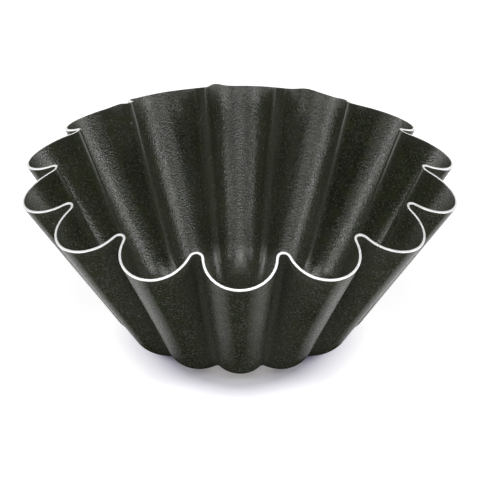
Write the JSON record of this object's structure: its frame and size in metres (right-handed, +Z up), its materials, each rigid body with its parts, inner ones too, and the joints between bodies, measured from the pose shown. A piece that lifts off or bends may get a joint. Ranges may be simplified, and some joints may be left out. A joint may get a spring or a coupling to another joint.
{
  "type": "fluted tart tin",
  "caption": "Flared round baking mould with deep half-round flutes, a rim that rises between the lobes and a flat floor, in thin steel with a dark release coat.",
  "frame": {"origin": "on the tin's axis, at the underside of its floor", "axes": "+Z up along the axis, out of the open mouth; one lobe faces -Y"},
  "size_m": [0.0782, 0.08, 0.0331],
  "materials": {
    "bare_steel": "satin",
    "inner_release_coat": "satin",
    "outer_release_coat": "satin"
  },
  "bodies": {
    "root": {"pressed_sheet": "bare_steel", "inner_coat": "inner_release_coat", "outer_coat": "outer_release_coat"}
  },
  "joints": []
}
